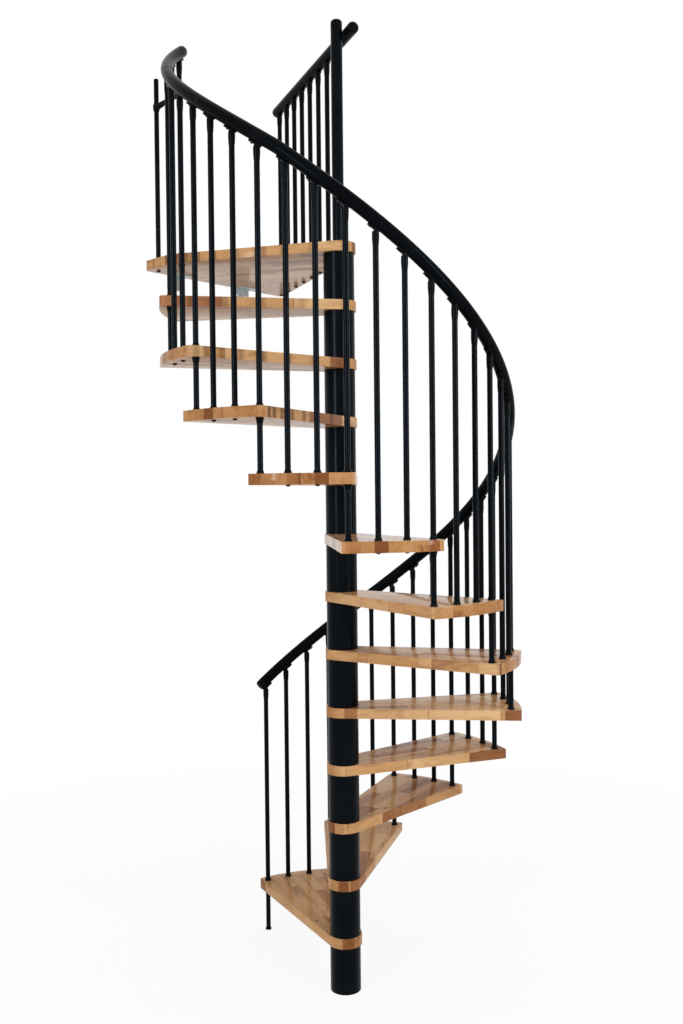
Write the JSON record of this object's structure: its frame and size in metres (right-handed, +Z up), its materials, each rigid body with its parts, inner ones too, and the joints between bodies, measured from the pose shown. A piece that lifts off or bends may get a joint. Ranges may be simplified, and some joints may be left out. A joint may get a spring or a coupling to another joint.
{
  "type": "spiral staircase",
  "caption": "Spiral staircase: wooden treads and a landing on a round column, long and short balusters under a helical handrail, a landing rail and brackets to the upper floor.",
  "frame": {"origin": "middle of the base plate's underside, on the column's axis at floor level", "axes": "+Z up along the column; the picture looks along +Y with +X to its right; the stair climbs clockwise seen from above, from 122 degrees round from +X"},
  "size_m": [1.4862, 1.5358, 3.784],
  "materials": {
    "black_steel": "satin black powder coat",
    "oiled_hardwood": "clear varnished glued hardwood staves, semi-gloss",
    "black_plastic": "fine textured black",
    "black_rail": "satin black sleeve over a tube",
    "zinc_steel": "galvanised"
  },
  "bodies": {
    "root": {"base_plate": "black_steel", "centre_pole": "black_steel", "pole_cap": "black_plastic", "column_tubes": "black_steel", "tread_01": "oiled_hardwood", "tread_02": "oiled_hardwood", "tread_03": "oiled_hardwood", "tread_04": "oiled_hardwood", "tread_05": "oiled_hardwood", "tread_06": "oiled_hardwood", "tread_07": "oiled_hardwood", "tread_08": "oiled_hardwood", "tread_09": "oiled_hardwood", "tread_10": "oiled_hardwood", "tread_11": "oiled_hardwood", "tread_12": "oiled_hardwood", "landing": "oiled_hardwood", "long_balusters": "black_steel", "short_balusters": "black_steel", "baluster_heads": "black_plastic", "nosing_collars": "black_plastic", "handrail": "black_rail", "landing_rail": "black_rail", "rail_end_caps": "black_plastic", "landing_balusters": "black_steel", "landing_heads": "black_plastic", "end_post": "black_steel", "end_post_clamp": "black_plastic", "landing_brackets": "zinc_steel"}
  },
  "joints": []
}
